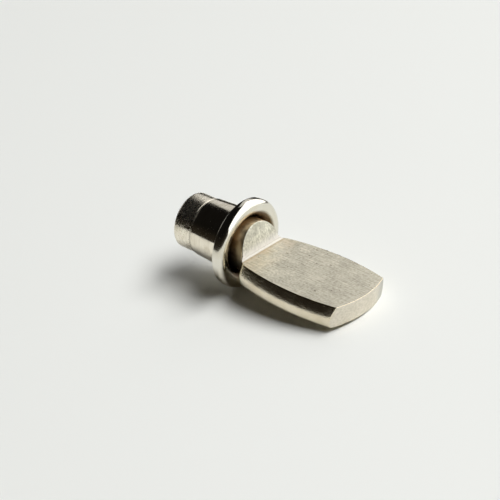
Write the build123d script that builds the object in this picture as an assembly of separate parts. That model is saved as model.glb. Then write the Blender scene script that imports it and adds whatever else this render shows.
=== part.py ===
from build123d import *
from math import radians, sqrt, tan
import os

# Shelf bracket of the spade-pin kind: a flanged sleeve is pressed into a bored hole in a
# cabinet side, and a pin with a flat seat stands in the sleeve and carries the shelf.
# Millimetres.  The origin is on the common axis, where the sleeve's rim bears on the panel.
# +X leaves the panel, +Z is up, and the seat faces +Z.

# The sleeve, drawn from sheet, tapered, and curled over at its mouth.
wall = 0.4                  # sheet thickness
land_diameter = 8.0         # parallel stretch that grips the bored hole
land_length = 2.0           # panel face to the start of the taper
taper_end_diameter = 7.58   # outside, in front of the snap groove
tail_diameter = 7.3         # outside, behind the snap groove
tail_depth = 8.3            # panel face to the inner end
tail_round = 0.35           # outer edge of the inner end
rim_diameter = 11.7         # over the curl
rim_thickness = 1.5         # panel face to the curl's crest
rim_round = 0.85            # outer front edge of the curl
rim_edge_break = 0.12       # sheared edge that bears on the panel
groove_place = 5.5          # panel face to the bottom of the snap groove
groove_depth = 0.1          # below the tail's outside
groove_round = 0.3          # radius of the roller that forms it
groove_edge_round = 0.15    # where the groove runs out into the tail and the taper

# The pin, which turns in the sleeve and is held there by the sleeve's inner ridge.
running_clearance = 0.05    # on the radius
pin_end_gap = 0.8           # the pin stops this far inside the tail
pin_end_chamfer = 0.3
collar_diameter = 6.9       # the stretch that shows in the mouth, turned down clear of the bore
collar_inside = 1.2         # panel face back to the collar's inner end

# The spade head.
seat_start = 3.2            # panel face to the shoulder's foot
seat_length = 15.4          # shoulder's foot to the tip corners
seat_width_root = 8.35
seat_width_middle = 10.7
seat_width_tip = 9.25
tip_bow = 0.85              # how far the tip's edge bows out past its corners
tip_draft = 6.0             # degrees that the tip's face leans in towards the underside
shoulder_lean = 17.0        # degrees back from upright
shoulder_root_round = 0.3
blade_depth_root = 3.3      # seat to underside
blade_depth_tip = 2.85
side_bulge = 0.5            # how far the sides swell past the seat's edge
side_bulge_depth = 1.9      # where they are widest, below the seat
lug_height = 0.45           # stock that stands above the seat beside the shoulder
heel_back = 0.45            # how far the heel reaches back past the shoulder's foot
heel_round = 1.2
underside_round_root = 1.3
underside_round_tip = 0.35

land_radius = land_diameter / 2
bore_radius = land_radius - wall
rim_radius = rim_diameter / 2
crest_radius = rim_radius - rim_round
mouth_round = crest_radius - bore_radius
flare_start = rim_thickness - mouth_round
taper_end_radius = taper_end_diameter / 2
tail_radius = tail_diameter / 2
collar_radius = collar_diameter / 2
tip_end = seat_start + seat_length + tip_bow


def bar_section(inset, first, last):
    """Half section of a bar that follows the sleeve's outside at a depth of inset."""
    bottom = -groove_place
    return make_face(Polyline((first, 0), (first, tail_radius - inset), (bottom, tail_radius - inset),
                              (bottom, taper_end_radius - inset), (-land_length, land_radius - inset),
                              (last, land_radius - inset), (last, 0), close=True))


def groove_section(inset):
    """The groove's round section.  Each layer below the outside is concentric with the roller."""
    return Pos(-groove_place, tail_radius - groove_depth + groove_round) * Circle(groove_round + inset)


def corners(section, *places):
    """The section's vertices nearest the places."""
    return [section.vertices().sort_by_distance((*place, 0))[0] for place in places]


def rim_section():
    """The curl: the sheet flares out of the mouth, turns at its crest and comes back to the panel."""
    bend = rim_thickness - rim_round
    flare_centre = (flare_start, crest_radius)
    bend_centre = (bend, crest_radius)
    return make_face([
        Line((flare_start, bore_radius), (flare_start, land_radius)),
        CenterArc(flare_centre, mouth_round - wall, -90, 90),
        CenterArc(bend_centre, rim_round - wall, 0, 90),
        Polyline((bend, rim_radius - wall), (0, rim_radius - wall), (0, rim_radius), (bend, rim_radius)),
        CenterArc(bend_centre, rim_round, 0, 90),
        CenterArc(flare_centre, mouth_round, -90, 90),
    ])


def sleeve():
    tube = bar_section(0, -tail_depth, flare_start) - groove_section(0)
    bore = bar_section(wall, -tail_depth, flare_start) - groove_section(wall)
    section = tube - bore + rim_section()
    section = fillet(corners(section, (0, rim_radius - wall), (0, rim_radius)), rim_edge_break)
    section = fillet(corners(section, (-tail_depth, tail_radius)), tail_round)
    groove_ends = corners(section, (-groove_place - groove_round, tail_radius),
                          (-groove_place + groove_round, taper_end_radius))
    section = fillet(groove_ends, groove_edge_round)
    return revolve(section, Axis.X)


def pin_bar():
    """The pin's round stock: a shank that follows the bore, and the collar that stands out of it."""
    layer = wall + running_clearance
    first = pin_end_gap - tail_depth
    last = seat_start + shoulder_root_round
    collar = make_face(Polyline((-collar_inside, 0), (-collar_inside, collar_radius), (last, collar_radius),
                                (last, 0), close=True))
    section = bar_section(layer, first, -collar_inside) - groove_section(layer) + collar
    section = chamfer(corners(section, (first, tail_radius - layer)), pin_end_chamfer)
    section = fillet(corners(section, (last, collar_radius)), collar_radius - blade_depth_root)
    return revolve(section, Axis.X)


def between(root, tip, x):
    """A size that changes evenly along the blade."""
    return root + (tip - root) * (x - seat_start) / seat_length


def seat_half_width(x):
    """Half the seat's width, on the parabola through its three stated widths."""
    t = (x - seat_start) / seat_length
    return (seat_width_root * (1 - t) * (1 - 2 * t) + 4 * seat_width_middle * t * (1 - t)
            + seat_width_tip * t * (2 * t - 1)) / 2


def blade_section(x):
    """The blade's section at x: swollen sides between the lug's top and a flat underside."""
    side_radius = (side_bulge ** 2 + side_bulge_depth ** 2) / (2 * side_bulge)
    widest = seat_half_width(x) + side_bulge

    def side(z):
        return widest - side_radius + sqrt(side_radius ** 2 - (z + side_bulge_depth) ** 2)

    depth = between(blade_depth_root, blade_depth_tip, x)
    top = side(lug_height), lug_height
    bottom = side(-depth), -depth
    flank = ThreePointArc(top, (widest, -side_bulge_depth), bottom)
    section = make_face([flank, mirror(flank, Plane.YZ), Line(top, (-top[0], top[1])),
                         Line(bottom, (-bottom[0], bottom[1]))])
    section = fillet(section.vertices().sort_by(Axis.Y)[:2],
                     between(underside_round_root, underside_round_tip, x))
    return Plane(origin=(x, 0, 0), x_dir=(0, 1, 0), z_dir=(1, 0, 0)) * section


def blade():
    """The blade's stock, still standing above the seat, with its heel rounded and its tip bowed."""
    heel = seat_start - heel_back
    stations = 6
    step = (tip_end - heel) / (stations - 1)
    stock = loft([blade_section(heel + step * i) for i in range(stations)])
    back = stock.faces().sort_by(Axis.X)[0]
    stock = fillet(back.edges().sort_by(Axis.Z)[:-1], heel_round)
    tip_radius = (seat_width_tip ** 2 / 4 + tip_bow ** 2) / (2 * tip_bow)
    reach = rim_radius
    spread = reach * tan(radians(tip_draft))
    return stock & Pos(tip_end - tip_radius, 0, 0) * Cone(tip_radius - spread, tip_radius + spread, 2 * reach)


def room_above_seat():
    """What is milled away above the seat and in front of the leaning shoulder."""
    height = rim_radius
    lean = height * tan(radians(shoulder_lean))
    end = tip_end + rim_radius
    profile = make_face(Polyline((seat_start, 0), (seat_start - lean, height), (end, height), (end, 0),
                                 close=True))
    profile = fillet(corners(profile, (seat_start, 0)), shoulder_root_round)
    return extrude(Plane.XZ * profile, rim_diameter, both=True)


def pin():
    return pin_bar() + blade() - room_above_seat()


os.makedirs("parts", exist_ok=True)
export_step(sleeve(), "parts/sleeve.step")
export_step(pin(), "parts/shelf_pin.step")
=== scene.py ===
from math import acos, atan2, cos, degrees, pi, radians, sin, sqrt, tan, tau

import bpy
from mathutils import Matrix, Vector


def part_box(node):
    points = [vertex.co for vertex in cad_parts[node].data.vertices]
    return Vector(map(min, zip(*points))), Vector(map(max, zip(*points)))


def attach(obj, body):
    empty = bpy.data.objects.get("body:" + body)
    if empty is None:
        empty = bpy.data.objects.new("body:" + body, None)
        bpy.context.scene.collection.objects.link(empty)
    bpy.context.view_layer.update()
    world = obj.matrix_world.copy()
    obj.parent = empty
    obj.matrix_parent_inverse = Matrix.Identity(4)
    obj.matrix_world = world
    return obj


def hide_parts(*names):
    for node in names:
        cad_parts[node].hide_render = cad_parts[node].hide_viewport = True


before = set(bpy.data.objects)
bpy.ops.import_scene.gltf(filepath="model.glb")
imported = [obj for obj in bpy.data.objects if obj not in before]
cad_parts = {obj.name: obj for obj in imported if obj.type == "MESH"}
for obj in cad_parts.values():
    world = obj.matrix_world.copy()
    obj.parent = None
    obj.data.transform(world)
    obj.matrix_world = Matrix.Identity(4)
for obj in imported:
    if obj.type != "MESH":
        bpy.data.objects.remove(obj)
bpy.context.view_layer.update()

# ---------------------------------------------------------------------------------------------
# The sleeve.  A thimble drawn from thin steel sheet, tapered, and nickel plated until it
# mirrors.  A roller has pressed a shallow snap groove round its tail, and its mouth is flared
# and curled back into the rim that bears on the cabinet's side.
# ---------------------------------------------------------------------------------------------

MM = 0.001

sleeve_low, sleeve_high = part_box("sleeve")
tail_end = sleeve_low.x
rim_crest = sleeve_high.x
rim_radius = sleeve_high.z
sheet = 0.4 * MM
land_radius = 4.0 * MM
land_end = -2.0 * MM
taper_end_radius = 3.79 * MM
tail_radius = 3.65 * MM
tail_round = 0.35 * MM
rim_round = 0.85 * MM
edge_break = 0.12 * MM
groove_place = -5.5 * MM
groove_depth = 0.05 * MM
groove_round = 0.22 * MM
mouth_round = rim_radius - rim_round - land_radius + sheet
turning_steps = 160


def arc(centre, radius, first, last, steps=8):
    """Points along an arc.  Its angles are in degrees, from +X towards +Z."""
    angles = [radians(first + (last - first) * i / steps) for i in range(steps + 1)]
    return [(centre[0] + radius * cos(a), centre[1] + radius * sin(a)) for a in angles]


def groove_arc(inset, steps=12):
    """The groove's bottom, from the tail to the taper, at a depth of inset below the outside."""
    radius = groove_round + inset
    centre = tail_radius - groove_depth + groove_round
    tail_side = degrees(acos((centre - tail_radius + inset) / radius))
    taper_side = degrees(acos((centre - taper_end_radius + inset) / radius))
    return arc((groove_place, centre), radius, -90 - tail_side, -90 + taper_side, steps)


def only(piece):
    """Leaves this piece alone selected and active."""
    bpy.ops.object.select_all(action="DESELECT")
    piece.select_set(True)
    bpy.context.view_layer.objects.active = piece


def wire_loop(name, points):
    """A closed loop of wire that stands in the upright plane through the axis."""
    bpy.ops.object.select_all(action="DESELECT")
    bpy.ops.mesh.primitive_circle_add(vertices=len(points), radius=MM)
    loop = bpy.context.object
    loop.name = name
    for vertex, (x, z) in zip(loop.data.vertices, points):
        vertex.co = (x, 0, z)
    return loop


def turn(loop):
    """Spins a loop about the axis into a closed shell whose faces point outwards."""
    only(loop)
    bpy.ops.object.mode_set(mode="EDIT")
    bpy.ops.mesh.select_all(action="SELECT")
    bpy.ops.mesh.spin(steps=turning_steps, angle=tau, center=(0, 0, 0), axis=(1, 0, 0))
    bpy.ops.mesh.select_all(action="SELECT")
    bpy.ops.mesh.remove_doubles(threshold=0.001 * MM)
    bpy.ops.mesh.delete_loose(use_verts=True, use_edges=True, use_faces=False)
    bpy.ops.mesh.select_all(action="SELECT")
    bpy.ops.mesh.normals_make_consistent(inside=False)
    bpy.ops.object.mode_set(mode="OBJECT")


def smooth(piece, angle=30):
    """Shades a piece smooth up to its sharp edges.  Its broad faces hold the shading flat."""
    only(piece)
    bpy.ops.object.shade_smooth_by_angle(angle=radians(angle))
    weighted = piece.modifiers.new("broad faces", "WEIGHTED_NORMAL")
    weighted.keep_sharp = True
    bpy.ops.object.modifier_apply(modifier=weighted.name)


bend = rim_crest - rim_round
crest = rim_radius - rim_round
flare = rim_crest - mouth_round
sleeve_outline = (
    [(tail_end, tail_radius - sheet)]
    + groove_arc(sheet)
    + [(land_end, land_radius - sheet)]
    + arc((flare, crest), mouth_round, -90, 0, 20)
    + arc((bend, crest), rim_round, 0, 90, 14)[1:]
    + arc((edge_break, rim_radius - edge_break), edge_break, 90, 180, 3)
    + arc((edge_break, rim_radius - sheet + edge_break), edge_break, 180, 270, 3)
    + arc((bend, crest), rim_round - sheet, 90, 0, 6)
    + arc((flare, crest), mouth_round - sheet, 0, -90, 10)[1:]
    + [(land_end, land_radius)]
    + groove_arc(0)[::-1]
    + arc((tail_end + tail_round, tail_radius - tail_round), tail_round, 90, 180, 6)
)
sleeve = wire_loop("press_in_sleeve", sleeve_outline)
turn(sleeve)
smooth(sleeve)
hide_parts("sleeve")
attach(sleeve, "sleeve")


class Signal:
    """An output of a node.  Sums on it add Math nodes to its own tree."""

    def __init__(self, socket):
        self.socket = socket
        self.tree = socket.id_data

    def node(self, kind, settings, inputs, output=0):
        """Adds a node with its settings made first, then the values or links of its sockets."""
        added = self.tree.nodes.new(kind)
        for name, value in settings.items():
            setattr(added, name, value)
        for name, value in inputs.items():
            if isinstance(value, Signal):
                self.tree.links.new(value.socket, added.inputs[name])
            else:
                added.inputs[name].default_value = value
        return Signal(added.outputs[output])

    def math(self, operation, *terms):
        return self.node("ShaderNodeMath", {"operation": operation}, dict(enumerate(terms)))

    def __add__(self, other):
        return self.math("ADD", self, other)

    def __sub__(self, other):
        return self.math("SUBTRACT", self, other)

    def __rsub__(self, other):
        return self.math("SUBTRACT", other, self)

    def __mul__(self, other):
        return self.math("MULTIPLY", self, other)

    __radd__ = __add__
    __rmul__ = __mul__

    def ramp(self, low, high):
        """0 up to low, 1 from high on, and smooth between."""
        span = {"From Min": low, "From Max": high}
        return self.node("ShaderNodeMapRange", {"interpolation_type": "SMOOTHSTEP"},
                         {"Value": self, **span})

    def blend(self, first, second):
        """The first colour where the signal is 0, and the second where it is 1."""
        return self.node("ShaderNodeMix", {"data_type": "RGBA"},
                         {"Factor": self, 6: first, 7: second}, 2)

    def noise(self, scale, detail=2, stretch=(1, 1, 1)):
        """Noise with so many cells to the millimetre, drawn out where the stretch is under 1."""
        placed = self.node("ShaderNodeMapping", {}, {"Vector": self, "Scale": stretch})
        return self.node("ShaderNodeTexNoise", {},
                         {"Vector": placed, "Scale": scale / MM, "Detail": detail})

    def bump(self, height):
        """The surface's normal over a height in metres."""
        return self.node("ShaderNodeBump", {}, {"Height": height, "Distance": 1})


def reading(tree, kind, output):
    """What a node that takes nothing in reads, such as a place or the kind of a ray."""
    return Signal(tree.nodes.new(kind).outputs[output])


def finish(name):
    """A new metal: its shader, and the place on the object that its patterns read."""
    material = bpy.data.materials.new(name)
    material.use_nodes = True
    shader = material.node_tree.nodes["Principled BSDF"]
    shader.inputs["Metallic"].default_value = 1
    return material, shader, reading(material.node_tree, "ShaderNodeTexCoord", "Object")


def drive(shader, name, signal):
    """Lets a signal change one of the shader's inputs over the surface."""
    shader.id_data.links.new(signal.socket, shader.inputs[name])


def from_axis(place):
    """How far a point lies from the axis that the sleeve and the pin share."""
    flat = place.node("ShaderNodeVectorMath", {"operation": "MULTIPLY"}, {0: place, 1: (0, 1, 1)})
    return flat.node("ShaderNodeVectorMath", {"operation": "LENGTH"}, {0: flat}, 1)


def part_of(place, axis):
    """One part of a place: 0 along the axis towards the tip, 1 across the seat, 2 up."""
    return place.node("ShaderNodeSeparateXYZ", {}, {"Vector": place}, axis)


def polished_nickel():
    """Bright plate on drawn sheet: streaked tube, rough tail, and painted brown shade in the
    groove, in the mouth and on the rim's lower part.
    """
    drawn_pale, drawn_dark = (0.93, 0.87, 0.74, 1), (0.70, 0.63, 0.50, 1)
    groove_painted_shade = (0.28, 0.25, 0.20, 1)
    rim_pale, rim_dark = (0.80, 0.77, 0.68, 1), (0.75, 0.71, 0.60, 1)
    rim_painted_shade = (0.42, 0.36, 0.25, 1)
    mouth_painted_shade = (0.15, 0.10, 0.055, 1)
    ripple = 0.010 * MM
    ring_relief = 0.002 * MM

    material, shader, place = finish("polished_nickel")
    cloud = place.noise(0.5, 4)
    drawing = place.noise(1.0, 2, (0.35, 1, 1))
    rings = place.noise(3.5, 3, (1, 0.25, 0.25))
    speck = place.noise(7.0, 4)
    along = part_of(place, 0)
    # Painted shade inside the mouth, darkening the funnel and the bore; the mouth is also
    # rougher.
    mouth = from_axis(place).ramp(4.75 * MM, 4.2 * MM) * along.ramp(-0.4 * MM, 0.2 * MM)
    tail = along.ramp(-4.8 * MM, -5.6 * MM)
    # Painted shade in the groove: its colour is darkened there.
    groove = along.ramp(-5.75 * MM, -5.55 * MM) * along.ramp(-5.25 * MM, -5.45 * MM)
    # Painted shade on the rim's lower part, darker towards its bottom.
    lower = part_of(place, 2).ramp(-0.5 * MM, -5 * MM)
    streaks = cloud.ramp(0.35, 0.7) * 0.6 + rings.ramp(0.35, 0.7) * 0.5
    tube = (groove * 0.5).blend(streaks.blend(drawn_pale, drawn_dark), groove_painted_shade)
    rim = (lower * 0.8).blend(cloud.ramp(0.35, 0.7).blend(rim_pale, rim_dark), rim_painted_shade)
    plate = along.ramp(-0.8 * MM, 0.1 * MM).blend(tube, rim)
    drive(shader, "Base Color", mouth.blend(plate, mouth_painted_shade))
    worn = speck.ramp(0.4, 0.7) * (tail * 0.2 + 0.04) + tail * 0.04
    drive(shader, "Roughness", worn + cloud.ramp(0.3, 0.8) * 0.06 + mouth * 0.25 + 0.09)
    relief = drawing * ripple + speck * (tail * 1.4 + 0.1) * ripple + rings * ring_relief
    drive(shader, "Normal", place.bump(relief))
    return material


sleeve.data.materials.append(polished_nickel())

# ---------------------------------------------------------------------------------------------
# The shelf pin.  A round bar that turns in the sleeve, forged out into a spade and plated.
# The seat and the leaning shoulder are milled, which leaves them satin; the tip is sheared
# to a bow, and the swollen sides keep the polish.
# ---------------------------------------------------------------------------------------------

pin_low, pin_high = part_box("shelf_pin")
running_clearance = 0.05 * MM
end_chamfer = 0.3 * MM
collar = 3.45 * MM
collar_inner_end = -1.2 * MM
seat_start = 3.2 * MM
seat_length = 15.4 * MM
tip_end = pin_high.x
seat_width_root = 8.35 * MM
seat_width_middle = 10.7 * MM
seat_width_tip = 9.25 * MM
tip_bow = tip_end - seat_start - seat_length
tip_draft = radians(6)
shoulder_lean = radians(17)
shoulder_round = 0.3 * MM
depth_root = 3.3 * MM
depth_tip = 2.85 * MM
draft_root = 0.38
draft_middle = 0.41
draft_tip = 0.42
bulge_depth = 1.75 * MM
belly_radius = 3.9 * MM
lug_height = 0.45 * MM
heel = seat_start - 0.45 * MM
heel_round = 1.2 * MM
under_round_root = 1.3 * MM
under_round_tip = 0.35 * MM
broken_edge = 0.08 * MM


def bar():
    """The round stock: the shank with its groove, and the slimmer collar in the mouth."""
    layer = sheet + running_clearance
    collar_round = collar - depth_root
    front = seat_start + shoulder_round
    first = pin_low.x
    end = tail_radius - layer
    outline = (
        [(first, 0), (first, end - end_chamfer), (first + end_chamfer, end)]
        + groove_arc(layer)
        + [(land_end, land_radius - layer), (collar_inner_end, land_radius - layer)]
        + [(collar_inner_end, collar)]
        + arc((front - collar_round, collar - collar_round), collar_round, 90, 0, 8)
        + [(front, 0)]
    )
    loop = wire_loop("pin_bar", outline)
    turn(loop)
    return loop


def along_blade(x, root, middle, tip):
    """A size at x, on the parabola through its values at the root, the middle and the tip."""
    t = (x - seat_start) / seat_length
    return root * (1 - t) * (1 - 2 * t) + 4 * middle * t * (1 - t) + tip * t * (2 * t - 1)


def side_place(x, z):
    """How far out the side stands: a nearly straight draft under the seat, then a belly."""
    seat_edge = along_blade(x, seat_width_root, seat_width_middle, seat_width_tip) / 2
    draft = along_blade(x, draft_root, draft_middle, draft_tip)
    if z > -bulge_depth:
        return seat_edge - draft * z * (1 - (z / bulge_depth) ** 4 / 5)
    return seat_edge + draft * bulge_depth * 0.8 - (z + bulge_depth) ** 2 / (2 * belly_radius)


def tip_face(y, z):
    """Where the tip's bowed and drafted face lies over a point of the section."""
    radius = (seat_width_tip ** 2 / 4 + tip_bow ** 2) / (2 * tip_bow)
    radius_here = radius + z * tan(tip_draft)
    return tip_end - radius + sqrt(radius_here ** 2 - y ** 2)


def blade_place(x, across, down):
    """A point of the blade's section at x: across runs from side to side, down from 0 to 1."""
    t = (x - seat_start) / seat_length
    back = max(0, heel + heel_round - x)
    inset = heel_round - sqrt(heel_round ** 2 - min(back, heel_round) ** 2)
    depth = depth_root + (depth_tip - depth_root) * t - inset
    full_corner = under_round_root + (under_round_tip - under_round_root) * t
    corner = max(broken_edge, full_corner - inset)
    straight = min(1, down / 0.6)
    turned = max(0, down - 0.6) / 0.4 * pi / 2
    level = lug_height - (lug_height + depth - corner) * straight
    y = across * (side_place(x, level) - inset - corner * (1 - cos(turned)))
    return y, level - corner * sin(turned)


def blade():
    """The spade, still standing above its seat: a block drawn corner by corner to its shape."""
    cells = 29
    heel_cells = 8
    bpy.ops.object.select_all(action="DESELECT")
    bpy.ops.mesh.primitive_cube_add(size=1)
    block = bpy.context.object
    block.name = "spade_pin"
    bpy.ops.object.mode_set(mode="EDIT")
    bpy.ops.mesh.subdivide(number_cuts=cells - 1)
    bpy.ops.object.mode_set(mode="OBJECT")
    for vertex in block.data.vertices:
        step = round((vertex.co.x + 0.5) * cells)
        across = vertex.co.y * 2
        down = 0.5 - vertex.co.z
        if step <= heel_cells:
            x = heel + heel_round * (1 - cos(step / heel_cells * pi / 2))
            y, z = blade_place(x, across, down)
        else:
            share = (step - heel_cells) / (cells - heel_cells)
            root = heel + heel_round
            x = root + (tip_end - root) * share
            for settling in range(4):
                y, z = blade_place(x, across, down)
                x = root + (tip_face(y, z) - root) * share
        vertex.co = (x, y, z)
    return block


def seat_cutter():
    """What the mill takes away above the seat, with the leaning shoulder's rounded foot."""
    top = 8 * MM
    far = tip_end + 5 * MM
    slope = 90 + degrees(shoulder_lean)
    foot = shoulder_round * tan(radians(90 - slope / 2))
    centre = (seat_start + foot, shoulder_round)
    outline = (
        [(far, top), (seat_start - top * tan(shoulder_lean), top)]
        + arc(centre, shoulder_round, slope + 90, 270, 8)
        + [(far, 0)]
    )
    block = wire_loop("seat_cutter", outline)
    bpy.ops.object.mode_set(mode="EDIT")
    bpy.ops.mesh.select_all(action="SELECT")
    bpy.ops.mesh.edge_face_add()
    bpy.ops.transform.translate(value=(0, -top, 0))
    bpy.ops.mesh.extrude_region_move(TRANSFORM_OT_translate={"value": (0, 2 * top, 0)})
    bpy.ops.mesh.select_all(action="SELECT")
    bpy.ops.mesh.normals_make_consistent(inside=False)
    bpy.ops.object.mode_set(mode="OBJECT")
    return block


def combine(piece, other, operation):
    """Joins the other piece to this one, or cuts it away, and clears the other."""
    only(piece)
    boolean = piece.modifiers.new(operation.lower(), "BOOLEAN")
    boolean.operation = operation
    boolean.solver = "EXACT"
    boolean.object = other
    bpy.ops.object.modifier_apply(modifier=boolean.name)
    bpy.data.objects.remove(other)


def break_edges(piece, width):
    """Takes the sharpness off every edge that the tools left."""
    only(piece)
    bpy.ops.object.mode_set(mode="EDIT")
    bpy.ops.mesh.select_all(action="SELECT")
    bpy.ops.mesh.remove_doubles(threshold=0.004 * MM)
    bpy.ops.mesh.select_all(action="SELECT")
    bpy.ops.mesh.dissolve_limited(angle_limit=radians(0.05))
    bpy.ops.mesh.select_all(action="DESELECT")
    bpy.ops.mesh.select_mode(type="EDGE")
    bpy.ops.mesh.edges_select_sharp(sharpness=radians(28))
    bpy.ops.mesh.bevel(offset=width, segments=2, clamp_overlap=False)
    bpy.ops.mesh.select_mode(type="VERT")
    bpy.ops.object.mode_set(mode="OBJECT")


pin = blade()
combine(pin, bar(), "UNION")
combine(pin, seat_cutter(), "DIFFERENCE")
break_edges(pin, broken_edge)
smooth(pin, 35)
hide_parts("shelf_pin")
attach(pin, "pin")


def bright_nickel():
    """Plate that was polished before the seat was milled.  The collar is brown, darkened by
    painted shade, with painted light along its top.
    """
    pale, dark = (0.78, 0.71, 0.56, 1), (0.70, 0.62, 0.46, 1)
    collar_painted_shade, collar_painted_light = (0.13, 0.095, 0.055, 1), (0.74, 0.58, 0.36, 1)
    grain_relief = 0.03 * MM

    material, shader, place = finish("bright_nickel")
    cloud = place.noise(0.5, 4)
    speck = place.noise(5.5, 4)
    height = part_of(place, 2)
    # The collar in the mouth: painted shade, rougher, and without grain.
    shaded_collar = part_of(place, 0).ramp(3.1 * MM, 2.5 * MM) * 0.85
    # Painted light: the collar's top is lighter.
    upper = height.ramp(-0.6 * MM, 2.6 * MM)
    underside = height.ramp(-2.3 * MM, -2.9 * MM)
    collar_light_and_shade = (upper * cloud.ramp(0.3, 0.55)).blend(collar_painted_shade, collar_painted_light)
    plate = cloud.ramp(0.35, 0.7).blend(pale, dark)
    drive(shader, "Base Color", shaded_collar.blend(plate, collar_light_and_shade))
    drive(shader, "Roughness", speck.ramp(0.4, 0.8) * 0.08 + shaded_collar * 0.26 + 0.09)
    grain = (1 - shaded_collar) * (1 - underside * 0.75)
    drive(shader, "Normal", place.bump(speck * grain * grain_relief))
    return material


def satin_nickel(name, lay, pale, dark, smoothest, relief):
    """Plate on a cut face: satin, with the cutter's marks along their lay, mottled and pitted.

    It scatters some light every way, so that it doesn't go black where it mirrors nothing.
    Gives the material, its shader, the place on the object, the plate's colour, the pits and
    the roughness.  The relief is already on the shader.
    """
    material, shader, place = finish(name)
    shader.inputs["Metallic"].default_value = 0.7
    cloud = place.noise(0.4, 4)
    marks = place.noise(7.0, 2, lay)
    mottle = place.noise(3.2, 5)
    pits = place.noise(2.3, 3, (0.6, 1, 1)).ramp(0.66, 0.74)
    tone = marks.ramp(0.32, 0.68) * 0.45 + mottle.ramp(0.3, 0.7) * 0.4
    plate = (tone + cloud.ramp(0.35, 0.7) * 0.3 - 0.1).blend(pale, dark)
    drive(shader, "Normal", place.bump((marks * 0.5 + mottle * 0.4 - pits * 0.6) * relief))
    return material, shader, place, plate, pits, mottle * 0.14 + pits * 0.15 + smoothest


def seat_finish():
    """The seat: marks from end to end, pits, a warm bloom at the shoulder, painted shade along
    its corner with the shoulder, and darker towards the tip.
    """
    shade, bloom_gold = (0.27, 0.252, 0.20, 1), (0.66, 0.54, 0.37, 1)
    corner_shade_brown, pit_brown = (0.40, 0.30, 0.18, 1), (0.16, 0.13, 0.09, 1)

    material, shader, place, plate, pits, rough = satin_nickel(
        "seat_satin", lay=(0.05, 1, 1), pale=(0.60, 0.56, 0.445, 1), dark=(0.25, 0.23, 0.176, 1),
        smoothest=0.30, relief=0.016 * MM)
    along = part_of(place, 0)
    towards_tip = along.ramp(6 * MM, 18 * MM) * 0.25
    bloom = along.ramp(7.5 * MM, 3.3 * MM) * place.noise(0.45, 2).ramp(0.35, 0.65) * 0.5
    # Painted shade along the corner where the seat meets the shoulder.
    foot_painted_shade = along.ramp(3.8 * MM, 3.5 * MM) * 0.45
    warm = foot_painted_shade.blend(bloom.blend(towards_tip.blend(plate, shade), bloom_gold), corner_shade_brown)
    drive(shader, "Base Color", pits.blend(warm, pit_brown))
    drive(shader, "Roughness", rough)
    return material


def shoulder_finish():
    """The shoulder: upright marks, grey blotches towards its top, painted light that pales its
    foot, and painted shade along the corner at its foot.
    """
    blotch_grey, lit_foot_pale = (0.46, 0.44, 0.35, 1), (0.97, 0.94, 0.91, 1)
    foot_painted_shade = (0.60, 0.56, 0.47, 1)

    material, shader, place, plate, _, rough = satin_nickel(
        "shoulder_satin", lay=(1, 1, 0.07), pale=(0.95, 0.92, 0.78, 1),
        dark=(0.41, 0.385, 0.29, 1), smoothest=0.26, relief=0.020 * MM)
    height = part_of(place, 2)
    blotches = height.ramp(1.0 * MM, 2.8 * MM) * place.noise(0.8, 3).ramp(0.3, 0.6) * 0.55
    # Painted light: the shoulder grows paler towards its foot.
    lit_foot_mask = height.ramp(1.5 * MM, 0.2 * MM) * 0.75
    # Painted shade: a darker line along the corner at the shoulder's foot, which is also rougher.
    foot = height.ramp(0.35 * MM, 0.15 * MM)
    shoulder_plate_lit = lit_foot_mask.blend(blotches.blend(plate, blotch_grey), lit_foot_pale)
    drive(shader, "Base Color", (foot * 0.6).blend(shoulder_plate_lit, foot_painted_shade))
    drive(shader, "Roughness", rough + foot * 0.25)
    return material


def tip_finish():
    """The tip's sheared face: pale, with painted shade greying its far corner."""
    material, shader, place, plate, _, rough = satin_nickel(
        "tip_satin", lay=(1, 0.25, 1), pale=(0.80, 0.74, 0.635, 1), dark=(0.61, 0.565, 0.46, 1),
        smoothest=0.28, relief=0.006 * MM)
    # Painted shade: the far corner of the bowed face is greyed.
    far_corner_shade = part_of(place, 1).ramp(2.6 * MM, 4.5 * MM) * 0.75
    drive(shader, "Base Color", far_corner_shade.blend(plate, (0.45, 0.445, 0.40, 1)))
    drive(shader, "Roughness", rough)
    return material


for material in (bright_nickel(), seat_finish(), shoulder_finish(), tip_finish()):
    pin.data.materials.append(material)
polished, seat, shoulder, tip = range(4)

shoulder_facing = Vector((cos(shoulder_lean), 0, sin(shoulder_lean)))
for face in pin.data.polygons:
    if face.normal.z > 0.99 and abs(face.center.z) < 0.01 * MM:
        face.material_index = seat
    elif face.center.z > 0 and face.normal.dot(shoulder_facing) > 0.35:
        face.material_index = shoulder
    elif face.normal.x > 0.85 and face.center.x > tip_end - 2 * MM:
        face.material_index = tip
    else:
        face.material_index = polished

# ---------------------------------------------------------------------------------------------
# The table.  A plain white board.  The bracket lies on it as it would if it were put down, on
# the foot of its rim and the far bottom corner of its tip, so the table slopes under it.
# ---------------------------------------------------------------------------------------------

roll = radians(4)
tip_corner_out = 4.55 * MM
tip_corner_x = tip_end - tip_bow - depth_tip * tan(tip_draft)
tip_corner = Vector((tip_corner_x, tip_corner_out, -depth_tip))
rim_height = rim_radius + tip_corner.z * cos(roll) - tip_corner.y * sin(roll)
reach = tip_corner.x - (rim_crest - rim_round)
table_tilt = -atan2(rim_height, reach)
table_up = Vector((sin(table_tilt), -sin(roll) * cos(table_tilt), cos(roll) * cos(table_tilt)))
rest_rim = Vector((rim_crest - rim_round, rim_radius * sin(roll), -rim_radius * cos(roll)))
view_direction = Vector((-0.5468, 0.6646, -0.5091)).normalized()
away = (view_direction - view_direction.dot(table_up) * table_up).normalized()
aside = away.cross(table_up)

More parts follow.
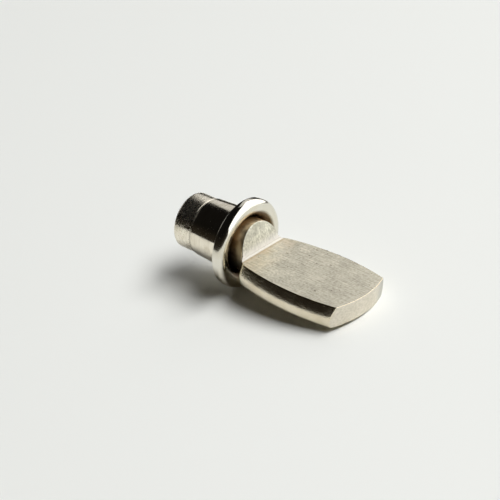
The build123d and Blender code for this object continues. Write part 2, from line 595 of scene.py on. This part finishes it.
bpy.ops.object.select_all(action="DESELECT")
bpy.ops.mesh.primitive_plane_add(
    size=0.5, location=rest_rim, rotation=table_up.to_track_quat("Z", "Y").to_euler())
table = bpy.context.object
table.name = "table"


def along_direction(place, direction):
    """How far a place lies along a direction."""
    return place.node("ShaderNodeVectorMath", {"operation": "DOT_PRODUCT"},
                      {0: place, 1: direction}, 1)


def table_white():
    """White paint.  The plate mirrors only the near part, and from below it is clear."""
    white, unlit = (0.84, 0.85, 0.82, 1), (0.02, 0.018, 0.015, 1)
    mirrored_end = 60 * MM
    fade = 5 * MM

    material = bpy.data.materials.new("table_white")
    material.use_nodes = True
    tree = material.node_tree
    shader = tree.nodes["Principled BSDF"]
    shader.inputs["Roughness"].default_value = 0.6
    shader.inputs["Specular IOR Level"].default_value = 0
    behind = along_direction(reading(tree, "ShaderNodeNewGeometry", "Position"), away)
    mirrored = reading(tree, "ShaderNodeLightPath", "Is Glossy Ray")
    past_end = behind.ramp(mirrored_end - fade, mirrored_end + fade) * mirrored
    drive(shader, "Base Color", past_end.blend(white, unlit))
    seen = reading(tree, "ShaderNodeLightPath", "Is Camera Ray")
    underneath = reading(tree, "ShaderNodeNewGeometry", "Backfacing") * seen
    clear = underneath.node("ShaderNodeBsdfTransparent", {}, {})
    paint = Signal(shader.outputs["BSDF"])
    surface = underneath.node("ShaderNodeMixShader", {}, {0: underneath, 1: paint, 2: clear})
    tree.links.new(surface.socket, tree.nodes["Material Output"].inputs["Surface"])
    return material


table.data.materials.append(table_white())

# ---------------------------------------------------------------------------------------------
# The room, the camera and the lamps.  The room looks pale, and is dark in the plate.  Three
# windows show in the plate and light nothing else, and two soft boxes light the rest.
# ---------------------------------------------------------------------------------------------

world = bpy.data.worlds.new("studio")
bpy.context.scene.world = world
world.use_nodes = True
skyward = reading(world.node_tree, "ShaderNodeTexCoord", "Generated")
dark_room = along_direction(skyward, table_up).ramp(0.05, 0.6).blend(
    (0.022, 0.018, 0.013, 1), (0.005, 0.0045, 0.004, 1))
seen_directly = reading(world.node_tree, "ShaderNodeLightPath", "Is Camera Ray")
room = seen_directly.blend(dark_room, (0.80, 0.81, 0.79, 1))
world.node_tree.links.new(room.socket, world.node_tree.nodes["Background"].inputs["Color"])

camera_data = bpy.data.cameras.new("camera")
camera_data.lens = 180
camera_data.sensor_width = 36
camera_data.clip_start = 0.01
camera_data.clip_end = 10
camera = bpy.data.objects.new("camera", camera_data)
bpy.context.scene.collection.objects.link(camera)
right = view_direction.cross(Vector((-0.3369, 0.3820, 0.8605))).normalized()
up = right.cross(view_direction)
camera.location = (0.17155, -0.20695, 0.15774)
camera.rotation_euler = Matrix((right, up, -view_direction)).transposed().to_euler()
bpy.context.scene.camera = camera
bpy.context.scene.view_settings.view_transform = "Standard"


def soft_box(name, bearing, lift, distance, width, height, radiance):
    """A lamp that faces the bracket, turned right from the way the camera looks, and lifted."""
    level = away * cos(radians(bearing)) + aside * sin(radians(bearing))
    outwards = level * cos(radians(lift)) + table_up * sin(radians(lift))
    sideways = table_up.cross(level)
    turned = Matrix((sideways, outwards.cross(sideways), outwards)).transposed()
    lamp = bpy.data.lights.new(name, "AREA")
    lamp.shape = "RECTANGLE"
    lamp.size = width
    lamp.size_y = height
    lamp.energy = radiance * 4 * width * height
    box = bpy.data.objects.new(name, lamp)
    bpy.context.scene.collection.objects.link(box)
    box.rotation_euler = turned.to_euler()
    box.location = rest_rim + outwards * distance
    return box


for window in (
    soft_box("window", 88, 30, distance=0.4, width=1.44, height=0.75, radiance=1.3),
    soft_box("tail_window", -50, 29, distance=0.9, width=0.5, height=0.4, radiance=0.4),
    soft_box("window_edge", 16, 33, distance=0.9, width=0.34, height=0.75, radiance=0.5),
):
    window.visible_diffuse = False
for lamp in (
    soft_box("key", 106, 57, distance=1.2, width=1.12, height=0.44, radiance=8.7),
    soft_box("back_fill", 20, 40, distance=1.2, width=1, height=1, radiance=0.75),
):
    lamp.visible_glossy = False
